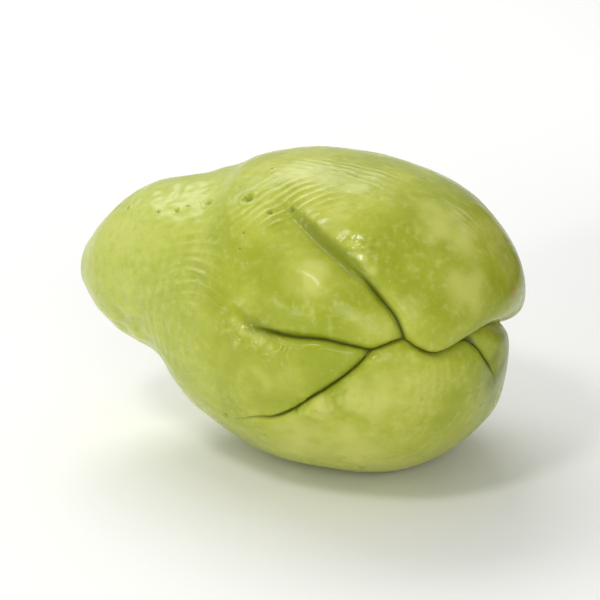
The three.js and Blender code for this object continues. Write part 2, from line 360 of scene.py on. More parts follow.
class FruitForm:
    """The fruit's surface by formula, in mm from the belly's middle."""

    CLOSING = 0.8
    PITCH = 3.5
    FLAT_DEPTH = 1.3
    SCAR_DEPTH = 1.5
    SCAR_SPREAD = 2.3
    SCAR_RING_HEIGHT = 0.5
    SCAR_RING_ANGLE = 4.6
    SCAR_RING_SPREAD = 1.5
    LOWEST_ALONG = 88
    SLOPE_STEP = 0.004
    TINY = 1e-9
    LEAST_WEIGHT = 1e-12
    LEAST_LIP = 1e-6
    REAL_LIP = 1e-3
    LIP_TAIL = 1.5
    MEETING = 4
    TAIL_WEIGHT = 1e-6
    DARK_REACH = 1.0
    DARK_LIP = 1.5
    SHADE_REACH = 2.2
    SHADE_LIP_SHARE = 0.35
    SHADE_DEPTH = 2.5
    STEM_END = np.array([-1.0, 0.0, 0.0])
    BLOSSOM_END = np.array([1.0, 0.0, 0.0])

    def __init__(self) -> None:
        """Samples every crease on the smooth body."""
        self.creases = [CreaseCurve(crease, self) for crease in CREASES]
        lowest = self.pitched(self.body(direction(self.LOWEST_ALONG, 180)[None]))[0, 2]
        self.floor = lowest + self.FLAT_DEPTH

    def radii(self, along: np.ndarray) -> np.ndarray:
        """Reads the body's radii at an angle, as a smooth curve that is level at both ends.

        Args:
            along: angles from the blossom end in degrees.

        Returns:
            One row each of top, front, bottom and back radius.
        """
        stations = BODY_RADII[:, 0]
        values = BODY_RADII[:, 1:]
        slopes = np.zeros_like(values)
        slopes[1:-1] = (values[2:] - values[:-2]) / (stations[2:] - stations[:-2])[:, None]
        k = np.clip(np.searchsorted(stations, along, side="right") - 1, 0, len(stations) - 2)
        width = (stations[k + 1] - stations[k])[:, None]
        t = (along[:, None] - stations[k][:, None]) / width
        start = (2 * t**3 - 3 * t**2 + 1) * values[k] + (t**3 - 2 * t**2 + t) * width * slopes[k]
        end = (3 * t**2 - 2 * t**3) * values[k + 1] + (t**3 - t**2) * width * slopes[k + 1]
        return start + end

    def body(self, dirs: np.ndarray) -> np.ndarray:
        """Gives the smooth body's points, before the creases are drawn in.

        Args:
            dirs: unit directions from the belly's middle.

        Returns:
            Points in mm.
        """
        top, front, bottom, back = self.radii(angles_from(dirs, self.BLOSSOM_END)).T
        across = np.hypot(dirs[:, 1], dirs[:, 2])
        safe = np.maximum(across, self.TINY)
        up = np.where(across > self.TINY, dirs[:, 2] / safe, 1)
        forward = np.where(across > self.TINY, -dirs[:, 1] / safe, 0)
        radius = (top + front + bottom + back) / 4
        radius = radius + (top - bottom) / 2 * up + (front - back) / 2 * forward
        radius = radius + (top + bottom - front - back) / 4 * (up**2 - forward**2)
        for swell in SWELLS:
            away = angles_from(dirs, direction(swell.along, swell.around)) / swell.spread
            radius = radius + swell.height * np.exp(-away**2)
        scar = angles_from(dirs, self.STEM_END)
        ring = (scar - self.SCAR_RING_ANGLE) / self.SCAR_RING_SPREAD
        radius = radius - self.SCAR_DEPTH * np.exp(-(scar / self.SCAR_SPREAD) ** 2)
        radius = radius + self.SCAR_RING_HEIGHT * np.exp(-ring**2)
        return dirs * radius[:, None]

    def normals(self, dirs: np.ndarray) -> np.ndarray:
        """Gives the smooth body's outward normals.

        Args:
            dirs: unit directions from the belly's middle.

        Returns:
            Unit normals.
        """
        helper = np.where(np.abs(dirs[:, :1]) < 0.9, [[1.0, 0, 0]], [[0, 1.0, 0]])
        first = np.cross(helper, dirs)
        first = first / lengths(first)
        second = np.cross(dirs, first)
        slopes = []
        for tangent in (first, second):
            ahead = dirs + self.SLOPE_STEP * tangent
            behind = dirs - self.SLOPE_STEP * tangent
            slopes.append(self.body(ahead / lengths(ahead)) - self.body(behind / lengths(behind)))
        normal = np.cross(slopes[0], slopes[1])
        return normal / lengths(normal)

    def folded(self, dirs: np.ndarray) -> tuple[np.ndarray, np.ndarray, np.ndarray]:
        """Draws the creases into the body.

        Args:
            dirs: unit directions from the belly's middle.

        Returns:
            Points in mm, how near each is to the bottom of a crease, for its painted dark line, and how much
            painted shade it takes beside a crease, from 0 to 1.
        """
        body = self.body(dirs)
        normal = self.normals(dirs)
        drops = np.zeros(len(body))
        valleys = np.zeros(len(body))
        weights = np.full(len(body), self.LEAST_WEIGHT)
        moves = np.zeros_like(body)
        crease_line_shade = np.zeros(len(body))
        shaded = np.zeros(len(body))
        for curve in self.creases:
            picked = curve.near(body)
            found = curve.measure(body[picked])
            lip = np.maximum(found["lip"], self.LEAST_LIP)
            quarter = lip * math.pi / 2
            distance = found["distance"]
            arc = np.minimum(distance, quarter) / lip
            rolled = distance - lip * (1 - np.cos(arc))
            beyond = (distance - quarter) / (self.LIP_TAIL * lip)
            trailing = (quarter - lip) * np.exp(-np.maximum(beyond, 0) ** 2)
            real = found["lip"] > self.REAL_LIP
            drop = np.where(real, lip * (1 - np.sin(arc)), 0)
            inwards = np.where(real, self.CLOSING * np.where(distance < quarter, rolled, trailing), 0)
            towards = found["place"] - body[picked]
            towards = towards - (towards * normal[picked]).sum(1)[:, None] * normal[picked]
            towards = towards / np.maximum(lengths(towards), self.TINY)
            weight = drop**self.MEETING + self.TAIL_WEIGHT * inwards
            moves[picked] += towards * (inwards * weight)[:, None]
            weights[picked] += weight
            drops[picked] += drop**self.MEETING
            valleys[picked] += found["valley"]
            # painted shade: a dark line along the bottom of each crease, and a softer band beside it
            dark = np.exp(-(distance / self.DARK_REACH) ** 2) * np.clip(found["lip"] / self.DARK_LIP, 0, 1)
            crease_line_shade[picked] = np.maximum(crease_line_shade[picked], dark)
            size = (self.SHADE_LIP_SHARE * lip + found["depth"]) / self.SHADE_DEPTH
            soft = np.exp(-(distance / self.SHADE_REACH) ** 2) * np.clip(size, 0, 1)
            shaded[picked] = np.maximum(shaded[picked], soft)
        depth = drops ** (1 / self.MEETING) + valleys
        return body - normal * depth[:, None] + moves / weights[:, None], crease_line_shade, shaded

    def pitched(self, points: np.ndarray) -> np.ndarray:
        """Tips the stem end up about the belly's middle.

        Args:
            points: places in mm.

        Returns:
            The tipped places.
        """
        turn = np.array(Matrix.Rotation(math.radians(self.PITCH), 3, "Y"))
        return points @ turn.T


class FineBall:
    """A closed ball of triangles that is split where the surface needs more."""

    def __init__(self) -> None:
        """Starts from the twelve corners of an icosahedron."""
        golden = (1 + math.sqrt(5)) / 2
        corners = []
        for a in (-1, 1):
            for b in (-golden, golden):
                corners += [(a, b, 0), (0, a, b), (b, 0, a)]
        self.dirs = np.array(corners, float)
        self.dirs /= lengths(self.dirs)
        gap = np.linalg.norm(self.dirs[:, None] - self.dirs[None], axis=2)
        close = (gap > 0.1) & (gap < 1.1)
        faces = []
        for i in range(12):
            for j in range(i + 1, 12):
                for k in range(j + 1, 12):
                    if close[i, j] and close[j, k] and close[i, k]:
                        a, b, c = self.dirs[[i, j, k]]
                        outward = np.dot(np.cross(b - a, c - a), a) > 0
                        faces.append((i, j, k) if outward else (i, k, j))
        self.faces = np.array(faces)

    def split(self, too_long: Callable[[np.ndarray, np.ndarray], np.ndarray]) -> bool:
        """Splits each long edge in two, and with it the longest edge of each triangle on it.

        A triangle that is only split on a short edge grows thinner, and the splitting might never end.

        Args:
            too_long: says which edges are too long, from the directions of their two ends.

        Returns:
            True if an edge was split.
        """
        f = self.faces
        edges = np.sort(np.vstack([f[:, [0, 1]], f[:, [1, 2]], f[:, [2, 0]]]), axis=1)
        unique, back = np.unique(edges, axis=0, return_inverse=True)
        long = too_long(self.dirs[unique[:, 0]], self.dirs[unique[:, 1]])
        if not long.any():
            return False
        length = lengths(self.dirs[unique[:, 0]] - self.dirs[unique[:, 1]])[:, 0]
        sides = back.reshape(3, -1).T
        longest = sides[np.arange(len(f)), length[sides].argmax(1)]
        while not long[longest[long[sides].any(1)]].all():
            long[longest[long[sides].any(1)]] = True
        middle = self.dirs[unique[long, 0]] + self.dirs[unique[long, 1]]
        index = np.full(len(unique), -1)
        index[long] = len(self.dirs) + np.arange(long.sum())
        self.dirs = np.vstack([self.dirs, middle / lengths(middle)])
        middles = index[back.reshape(3, -1).T]
        count = (middles >= 0).sum(1)
        parts = [f[count == 0]]
        for first in range(3):
            order = [first, (first + 1) % 3, (first + 2) % 3]
            a, b, c = f[:, order].T
            ab, bc, ca = middles[:, order].T
            one = (count == 1) & (ab >= 0)
            parts += [np.stack(t, 1)[one] for t in ((a, ab, c), (ab, b, c))]
            two = (count == 2) & (ca < 0)
            parts += [np.stack(t, 1)[two] for t in ((ab, b, bc), (a, ab, bc), (a, bc, c))]
        a, b, c = f.T
        ab, bc, ca = middles.T
        parts += [np.stack(t, 1)[count == 3] for t in ((a, ab, ca), (ab, b, bc), (ca, bc, c), (ab, bc, ca))]
        self.faces = np.vstack(parts)
        return True


class Relief(Enum):
    """What the skin of a patch does."""

    RIDGES = "straight ridges"
    ARCHES = "arched ridges"
    LUMPS = "low lumps"


@dataclass(frozen=True)
class Patch:
    """A wrinkled or lumpy patch: its middle, half sizes along and across, spacing and height in mm."""

    relief: Relief
    along: float
    around: float
    length: float
    breadth: float
    spacing: float
    height: float
    turn: float = 0


@dataclass(frozen=True)
class Pit:
    """A small dent in the skin, with its depth and radius in mm."""

    along: float
    around: float
    depth: float
    radius: float


PATCHES = (
    Patch(Relief.ARCHES, 135.5, 62, 8, 9, 2.6, 1.15),
    Patch(Relief.RIDGES, 145, 84, 10, 12, 2.8, 0.55, 90),
    Patch(Relief.RIDGES, 76, 6, 26, 9, 2.2, 0.14, 4),
    Patch(Relief.RIDGES, 110, 31, 9, 6, 2.2, 0.65, -45),
    Patch(Relief.RIDGES, 45, 97, 9, 9, 2.4, 0.14, 90),
    Patch(Relief.LUMPS, 159, 106, 12, 11, 4.0, 1.5),
    Patch(Relief.LUMPS, 150, 20, 16, 10, 2.9, 0.45),
    Patch(Relief.LUMPS, 78, 43, 7, 3, 2.4, 0.8),
    Patch(Relief.LUMPS, 84, 104, 6, 3.5, 2.0, 1.2),
    Patch(Relief.LUMPS, 73, 98, 5, 3, 2.0, 0.8),
    Patch(Relief.LUMPS, 113, 81.5, 7, 4, 2.2, 1.3),
    Patch(Relief.LUMPS, 100, 85, 6, 3, 2.2, 0.9),
    Patch(Relief.RIDGES, 132, 262, 10, 14, 2.2, 0.10, 80),
    Patch(Relief.ARCHES, 118, 300, 8, 7, 2.6, 0.18),
)

PITS = (
    Pit(159.1, 23.3, 0.45, 0.65),
    Pit(150.6, 31.5, 0.30, 0.5),
    Pit(146.4, 30.8, 0.45, 0.6),
    Pit(144.1, 28.1, 0.30, 0.5),
    Pit(138.9, 26.1, 0.60, 0.9),
    Pit(118.9, 11.8, 0.35, 0.5),
    Pit(112.6, 35.2, 0.50, 0.65),
    Pit(122.0, 29.3, 0.80, 1.2),
    Pit(105.4, 32.7, 0.50, 0.7),
    Pit(119.6, 44.9, 0.25, 0.45),
    Pit(119.6, 51.2, 0.25, 0.45),
    Pit(94.6, 64.2, 0.60, 3.6),
    Pit(91.0, 66.5, 0.25, 1.6),
    Pit(92.0, 108.2, 0.70, 0.8),
    Pit(121.0, 125.0, 0.50, 0.8),
)


# Spots of paler or deeper skin, painted highlights, painted shade, lower roughness and a stain: the angles along
# and around, and the radius in mm
# Pale patches of skin, and painted highlights: the small streaks and dots on crease lips and lumps stand for
# glints
PALE_AND_HIGHLIGHT_SPOTS = (
    (40, 45, 7), (65, 98, 7), (92, 58, 6), (82, 104, 3.5), (72, 100, 3), (51, 20, 10),
    (90, 120, 8), (72, 118, 8),
    (117, 78, 1.3), (114.7, 79, 1.5), (112.4, 80, 1.6), (110, 81, 1.6), (107.6, 82, 1.4), (105.5, 82.8, 1.2),
    (80, 43, 1.6), (76, 47, 1.6), (72, 51, 1.6),
)
# Painted shade on the small third lobe, a darker olive
THIRD_LOBE_SHADE_SPOTS = ((15, 133, 8), (19, 108, 6))
DEEP_SPOTS = (
    (104, 88, 12), (84, 84, 9), (114, 94, 10), (100, 104, 8), (119, 80, 9), (124, 71, 6), (105, 59, 9),
)
SHINE_SPOTS = (
    (115, 79, 3), (110, 81.5, 3), (100, 85, 3),
    (80, 43, 2.5), (76, 47, 2.5), (72, 51, 2.5),
    (84, 104, 4), (73, 98, 4), (37, 5, 4), (34, 12, 4),
)
STAIN_SPOTS = ((22, 18, 3.2),)


class SkinRelief:
    """The fine relief of the skin: slow waves, wrinkled patches and pits."""

    SEED = 11
    HIDDEN_PITS = 16
    WAVE_SIZE = 15.0
    WAVE_HEIGHT = 0.45
    RIPPLE_SIZE = 5.0
    RIPPLE_HEIGHT = 0.12
    ARCH_BEND = 0.022
    FACETS_PER_RIDGE = 4.2
    RIM_SHARE = 0.25
    RIM_PLACE = 1.7
    RIM_WIDTH = 0.6
    WIDEST_DARK_PIT = 1.5
    FINEST_LUMPS = 3
    HIDDEN_ALONG = (100, 165)
    HIDDEN_AROUND = (150, 350)
    HIDDEN_DEPTH = (0.2, 0.45)
    HIDDEN_RADIUS = (0.45, 0.7)
    PATCH_EDGE = 7
    PATCH_THICKNESS = 20
    WAVER = 0.45
    WAVER_RIDGES = 3
    RIDGE_MEAN = 0.375
    MEAN_HEIGHT = 0.7
    HEIGHT_CHANGE = 0.6
    CHANGE_RIDGES = 1.5
    CHANGE_OFFSET = 40
    RIPPLE_OFFSET = 90

    def __init__(self, form: FruitForm) -> None:
        """Places the pits that the photograph shows and draws the hidden ones.

        Args:
            form: the fruit's surface.
        """
        self.form = form
        random = np.random.default_rng(self.SEED)
        hidden = [
            Pit(*(random.uniform(*span) for span in (
                self.HIDDEN_ALONG, self.HIDDEN_AROUND, self.HIDDEN_DEPTH, self.HIDDEN_RADIUS,
            )))
            for _ in range(self.HIDDEN_PITS)
        ]
        self.pits = (*PITS, *hidden)
        self.ridged = [
            patch for patch in PATCHES
            if patch.relief is not Relief.LUMPS or patch.spacing < self.FINEST_LUMPS
        ]
        self.ridged_places = form.body(np.array([direction(patch.along, patch.around) for patch in self.ridged]))
        self.places = form.body(np.array([direction(pit.along, pit.around) for pit in self.pits]))

    def noise(self, points: np.ndarray, size: float) -> np.ndarray:
        """Reads smooth noise.

        Args:
            points: places in mm.
            size: width of a wave in mm.

        Returns:
            Values from about -1 to 1.
        """
        return np.array([noise.noise(Vector(point)) for point in points / size])

    def patch(self, patch: Patch, body: np.ndarray) -> np.ndarray:
        """Raises one patch.

        Args:
            patch: where and what it is.
            body: points of the smooth body.

        Returns:
            Height over the skin in mm for each point.
        """
        at = direction(patch.along, patch.around)[None]
        middle = self.form.body(at)[0]
        up = self.form.normals(at)[0]
        forward = np.cross(np.cross(up, self.form.BLOSSOM_END), up)
        forward = forward / np.linalg.norm(forward)
        across = np.cross(forward, up)
        offset = body - middle
        u = offset @ forward
        v = offset @ across
        square = (u / patch.length) ** 2 + (v / patch.breadth) ** 2
        near = np.nonzero((square < self.PATCH_EDGE) & (offset @ up > -self.PATCH_THICKNESS))[0]
        raised = np.zeros(len(body))
        if patch.relief is Relief.LUMPS:
            shape = self.noise(body[near], patch.spacing)
        else:
            turn = math.radians(patch.turn)
            course = v[near] * math.cos(turn) - u[near] * math.sin(turn)
            if patch.relief is Relief.ARCHES:
                course = course - self.ARCH_BEND * u[near] ** 2
            waver = self.WAVER * self.noise(body[near], self.WAVER_RIDGES * patch.spacing)
            course = course / patch.spacing + waver
            shape = (0.5 + 0.5 * np.cos(2 * math.pi * course)) ** 2 - self.RIDGE_MEAN
            change = self.noise(body[near] + self.CHANGE_OFFSET, self.CHANGE_RIDGES * patch.spacing)
            shape = shape * (self.MEAN_HEIGHT + self.HEIGHT_CHANGE * change)
        raised[near] = patch.height * np.exp(-square[near]) * shape
        return raised

    def pitted(self, body: np.ndarray) -> np.ndarray:
        """Says how far each point is inside a small pit, from 0 to 1."""
        inside = np.zeros(len(body))
        for pit, place in zip(self.pits, self.places):
            # only the small pits take the painted shade
            if pit.radius < self.WIDEST_DARK_PIT:
                away = np.linalg.norm(body - place, axis=1) / pit.radius
                inside = np.maximum(inside, np.exp(-away**2))
        return inside

    def wrinkled(self, body: np.ndarray) -> np.ndarray:
        """Adds up the wrinkled and lumpy patches: height over the skin in mm for each point."""
        return sum(self.patch(patch, body) for patch in PATCHES)

    def height(self, body: np.ndarray) -> np.ndarray:
        """Adds up the slow waves and the pits.

        Args:
            body: points of the smooth body.

        Returns:
            Height over the skin in mm for each point.
        """
        total = self.WAVE_HEIGHT * self.noise(body, self.WAVE_SIZE)
        total = total + self.RIPPLE_HEIGHT * self.noise(body + self.RIPPLE_OFFSET, self.RIPPLE_SIZE)
        for pit, place in zip(self.pits, self.places):
            away = np.linalg.norm(body - place, axis=1) / pit.radius
            rim = self.RIM_SHARE * np.exp(-((away - self.RIM_PLACE) / self.RIM_WIDTH) ** 2)
            total = total - pit.depth * (np.exp(-away**2) - rim)
        return total


@dataclass(frozen=True)
class Finish:
    """A named surface: its colours as sRGB hex, and how it shines."""

    name: str
    colours: dict[str, str]
    roughness: float
    ior: float


# Fresh chayote skin: thin, waxy and slightly see-through, yellow-green with paler and deeper blotches; its
# colours also hold painted highlights, and painted shade in the creases, the pits and on the third lobe
WAXY_SKIN = Finish(
    name="chayote skin, waxy",
    colours={
        "deep": "#98a31f",
        "base": "#adb536",
        "pale": "#c2c65a",
        "fleck": "#ced27c",
        "neck": "#bac560",
        # painted shade colour for the band beside each crease
        "valley": "#727e0e",
        # painted shade colour for the dark line at each crease's bottom
        "crease": "#4d560a",
        # painted shade colour for the small pits
        "pit": "#6f7a22",
        "scar": "#8a7a42",
        "stain": "#a88f22",
        # painted highlight colour, also used for pale patches of skin
        "pale_and_highlight": "#c6c962",
        # painted shade colour for the third lobe
        "third_lobe_shade": "#6f7a1c",
    },
    roughness=0.32,
    ior=1.47,
)

# Lenticels: tiny corky breathing spots, drier and paler than the skin round them
CORKY_SPECK = Finish(
    name="chayote lenticel, corky",
    colours={"base": "#b8be62"},
    roughness=0.6,
    ior=1.45,
)

# Studio table: smooth white laminate, nearly the colour of paper
WHITE_LAMINATE = Finish(
    name="laminate, matt white",
    colours={"base": "#f4f4f2"},
    roughness=0.6,
    ior=1.5,
)

# Flag: matt black card that takes light away
BLACK_CARD = Finish(
    name="card, matt black",
    colours={"base": "#101010"},
    roughness=0.8,
    ior=1.45,
)


def add_node(tree: bpy.types.NodeTree, kind: str, inputs: dict[Any, Any], **settings: Any) -> bpy.types.Node:
    """Adds a node with its settings and links.

    Args:
        tree: the node tree.
        kind: the node's type.
        inputs: for each input's name or number, a socket to link or a value.
        settings: the node's own properties.

    Returns:
        The new node.
    """
    node = tree.nodes.new(kind)
    for name, value in settings.items():
        setattr(node, name, value)
    for key, value in inputs.items():
        if isinstance(value, bpy.types.NodeSocket):
            tree.links.new(value, node.inputs[key])
        else:
            node.inputs[key].default_value = value
    return node


class FinishMaker:
    """Turns finishes into node materials."""

    BLOTCH_MM = 24.0
    MOTTLE_MM = 6.0
    GRAIN_MM = 1.1
    FLECK_MM = 2.2
    PEEL_MM = 0.9
    PEEL_DEPTH_MM = 0.05
    DIMPLE_MM = 2.6
    DIMPLE_DEPTH_MM = 0.18

    def start(self, finish: Finish) -> tuple[bpy.types.Material, bpy.types.NodeTree, bpy.types.Node]:
        """Makes a material with its shader.

        Args:
            finish: the surface's name and shine.

        Returns:
            The material, its node tree and the shader node.
        """
        material = bpy.data.materials.new(finish.name)
        material.use_nodes = True
        tree = material.node_tree
        shader = tree.nodes["Principled BSDF"]
        shader.inputs["Roughness"].default_value = finish.roughness
        shader.inputs["IOR"].default_value = finish.ior
        return material, tree, shader

    def plain(self, finish: Finish) -> bpy.types.Material:
        """Makes a finish of one colour with a faint grain.

        Args:
            finish: the surface.

        Returns:
            The material.
        """
        material, tree, shader = self.start(finish)
        place = add_node(tree, "ShaderNodeTexCoord", {})
        grain = add_node(tree, "ShaderNodeTexNoise", {
            "Vector": place.outputs["Object"], "Scale": 1 / (self.GRAIN_MM * MM), "Detail": 2.0,
        })
        bump = add_node(tree, "ShaderNodeBump", {
            "Height": grain.outputs[0], "Strength": 0.2, "Distance": 0.02 * MM,
        })
        tree.links.new(bump.outputs[0], shader.inputs["Normal"])
        shader.inputs["Base Color"].default_value = linear(finish.colours["base"])
        return material

    def skin(self, finish: Finish) -> bpy.types.Material:
        """Makes the fruit's skin.

        Args:
            finish: the skin's colours and shine.

        Returns:
            The material.
        """
        material, tree, shader = self.start(finish)
        colours = {name: linear(value) for name, value in finish.colours.items()}
        place = add_node(tree, "ShaderNodeTexCoord", {}).outputs["Object"]

        def noise_at(size: float, detail: float, offset: float) -> bpy.types.NodeSocket:
            """Reads noise with waves of a size in mm, moved by an offset in mm."""
            moved = add_node(tree, "ShaderNodeMapping", {"Vector": place, "Location": (offset * MM,) * 3})
            return add_node(tree, "ShaderNodeTexNoise", {
                "Vector": moved.outputs[0], "Scale": 1 / (size * MM), "Detail": detail,
            }).outputs[0]

        def ranged(value: bpy.types.NodeSocket, low: float, high: float, top: float) -> bpy.types.NodeSocket:
            """Spreads a value from low to high over nought to top, smoothly."""
            return add_node(tree, "ShaderNodeMapRange", {
                "Value": value, "From Min": low, "From Max": high, "To Min": 0.0, "To Max": top,
            }, interpolation_type="SMOOTHSTEP").outputs[0]

        def mixed(amount: bpy.types.NodeSocket, under: Any, over: Any) -> bpy.types.NodeSocket:
            """Lays one colour over another by an amount."""
            return add_node(tree, "ShaderNodeMix", {0: amount, 6: under, 7: over}, data_type="RGBA").outputs[2]

        def read(name: str) -> bpy.types.NodeSocket:
            """Reads a value that the mesh carries."""
            return add_node(tree, "ShaderNodeAttribute", {}, attribute_name=name).outputs["Fac"]

        blotch = noise_at(self.BLOTCH_MM, 3.0, 0)
        mottle = noise_at(self.MOTTLE_MM, 4.0, 300)
        grain = noise_at(self.GRAIN_MM, 3.0, 600)
        fleck = noise_at(self.FLECK_MM, 2.0, 1500)
        colour = mixed(ranged(blotch, 0.36, 0.56, 1.0), colours["deep"], colours["base"])
        colour = mixed(ranged(blotch, 0.52, 0.72, 0.9), colour, colours["pale"])
        colour = mixed(ranged(mottle, 0.5, 0.75, 0.35), colour, colours["pale"])
        colour = mixed(ranged(mottle, 0.5, 0.25, 0.35), colour, colours["deep"])
        colour = mixed(ranged(read("neck"), 0.0, 1.0, 0.6), colour, colours["neck"])
        colour = mixed(ranged(grain, 0.5, 0.8, 0.18), colour, colours["pale"])
        colour = mixed(ranged(fleck, 0.5, 0.75, 0.3), colour, colours["fleck"])
        colour = mixed(ranged(fleck, 0.48, 0.28, 0.3), colour, colours["deep"])
        colour = mixed(ranged(read("deep"), 0.0, 1.0, 0.75), colour, colours["deep"])
        # pale patches of skin and painted highlights
        colour = mixed(ranged(read("pale_and_highlight"), 0.0, 1.0, 0.85), colour, colours["pale_and_highlight"])
        # painted shade beside the creases
        colour = mixed(ranged(read("valley"), 0.1, 1.0, 0.75), colour, colours["valley"])
        # painted shade on the third lobe
        colour = mixed(ranged(read("third_lobe_shade"), 0.0, 1.0, 0.75), colour, colours["third_lobe_shade"])
        colour = mixed(ranged(read("stain"), 0.2, 1.0, 0.6), colour, colours["stain"])
        colour = mixed(ranged(read("scar"), 0.2, 1.0, 0.9), colour, colours["scar"])
        # painted shade in the small pits
        colour = mixed(ranged(read("pit"), 0.2, 1.0, 0.7), colour, colours["pit"])
        # painted shade: the dark line at each crease's bottom
        colour = mixed(ranged(read("crease"), 0.15, 1.0, 0.95), colour, colours["crease"])
        dimples = add_node(tree, "ShaderNodeBump", {
            "Height": noise_at(self.DIMPLE_MM, 2.0, 1200), "Strength": 0.6, "Distance": self.DIMPLE_DEPTH_MM * MM,
        })
        bump = add_node(tree, "ShaderNodeBump", {
            "Height": noise_at(self.PEEL_MM, 2.0, 900), "Strength": 0.5, "Distance": self.PEEL_DEPTH_MM * MM,
            "Normal": dimples.outputs[0],
        })
        rough = add_node(tree, "ShaderNodeMapRange", {
            "Value": mottle, "From Min": 0.3, "From Max": 0.7,
            "To Min": finish.roughness - 0.06, "To Max": finish.roughness + 0.08,
        })
        waxed = add_node(tree, "ShaderNodeMapRange", {"Value": read("shine"), "To Min": 1.0, "To Max": 0.35})
        rough = add_node(tree, "ShaderNodeMath", {
            0: rough.outputs[0], 1: waxed.outputs[0],
        }, operation="MULTIPLY")
        tree.links.new(colour, shader.inputs["Base Color"])
        tree.links.new(rough.outputs[0], shader.inputs["Roughness"])
        tree.links.new(bump.outputs[0], shader.inputs["Normal"])
        tree.links.new(bump.outputs[0], shader.inputs["Coat Normal"])
        shader.inputs["Specular IOR Level"].default_value = 0.3
        shader.inputs["Coat Weight"].default_value = 0.25
        shader.inputs["Coat Roughness"].default_value = 0.2
        shader.inputs["Coat IOR"].default_value = 1.45
        shader.inputs["Subsurface Weight"].default_value = 0.12
        shader.inputs["Subsurface Radius"].default_value = (1.0, 1.0, 0.3)
        shader.inputs["Subsurface Scale"].default_value = 2.5 * MM
        return material


@dataclass
class Lenticels:
    """Corky specks, scattered over the skin by a node tree."""

    per_square_metre: float = 9000.0
    radius: float = 0.28 * MM
    smallest_share: float = 0.5
    flatness: float = 0.2
    seed: int = 7

    def tree(self) -> bpy.types.NodeTree:
        """Builds the node tree that scatters the specks.

        Returns:
            A geometry node group with its sizes as named inputs.
        """
        tree = bpy.data.node_groups.new("Lenticels", "GeometryNodeTree")
        face = tree.interface
        face.new_socket("Skin", in_out="INPUT", socket_type="NodeSocketGeometry")
        face.new_socket("Density", in_out="INPUT", socket_type="NodeSocketFloat")
        face.new_socket("Radius", in_out="INPUT", socket_type="NodeSocketFloat")
        face.new_socket("Smallest share", in_out="INPUT", socket_type="NodeSocketFloat")
        face.new_socket("Flatness", in_out="INPUT", socket_type="NodeSocketFloat")
        face.new_socket("Seed", in_out="INPUT", socket_type="NodeSocketInt")
        face.new_socket("Material", in_out="INPUT", socket_type="NodeSocketMaterial")
        face.new_socket("Specks", in_out="OUTPUT", socket_type="NodeSocketGeometry")
        given = add_node(tree, "NodeGroupInput", {}).outputs
        open_skin = add_node(tree, "GeometryNodeInputNamedAttribute", {"Name": "open_skin"}, data_type="FLOAT")
        density = add_node(tree, "ShaderNodeMath", {
            0: given["Density"], 1: open_skin.outputs["Attribute"],
        }, operation="MULTIPLY")
        points = add_node(tree, "GeometryNodeDistributePointsOnFaces", {
            "Mesh": given["Skin"], "Density": density.outputs[0], "Seed": given["Seed"],
        })
        speck = add_node(tree, "GeometryNodeMeshIcoSphere", {"Radius": 1.0, "Subdivisions": 1})
        smallest = add_node(tree, "ShaderNodeMath", {
            0: given["Radius"], 1: given["Smallest share"],
        }, operation="MULTIPLY")
        random = add_node(tree, "FunctionNodeRandomValue", {
            "Min": smallest.outputs[0], "Max": given["Radius"], "Seed": given["Seed"],
        }, data_type="FLOAT")
        wide = random.outputs["Value"]
        high = add_node(tree, "ShaderNodeMath", {0: wide, 1: given["Flatness"]}, operation="MULTIPLY")
        size = add_node(tree, "ShaderNodeCombineXYZ", {"X": wide, "Y": wide, "Z": high.outputs[0]})
        placed = add_node(tree, "GeometryNodeInstanceOnPoints", {
            "Points": points.outputs["Points"], "Instance": speck.outputs["Mesh"],
            "Rotation": points.outputs["Rotation"], "Scale": size.outputs[0],
        })
        real = add_node(tree, "GeometryNodeRealizeInstances", {"Geometry": placed.outputs[0]})
        painted = add_node(tree, "GeometryNodeSetMaterial", {
            "Geometry": real.outputs[0], "Material": given["Material"],
        })
        add_node(tree, "NodeGroupOutput", {"Specks": painted.outputs[0]})
        return tree

    def mesh(self, skin: bpy.types.Object, material: bpy.types.Material) -> bpy.types.Mesh:
        """Scatters the specks over the skin.

        Args:
            skin: the fruit's object.
            material: the specks' finish.

        Returns:
            A plain mesh of all specks.
        """
        tree = self.tree()
        modifier = skin.modifiers.new("Lenticels", "NODES")
        modifier.node_group = tree
        values = {
            "Density": self.per_square_metre,
            "Radius": self.radius,
            "Smallest share": self.smallest_share,
            "Flatness": self.flatness,
            "Seed": self.seed,
            "Material": material,
        }
        for socket in tree.interface.items_tree:
            if socket.name in values:
                modifier[socket.identifier] = values[socket.name]
        evaluated = skin.evaluated_get(bpy.context.evaluated_depsgraph_get())
        mesh = bpy.data.meshes.new_from_object(evaluated)
        skin.modifiers.remove(modifier)
        return mesh


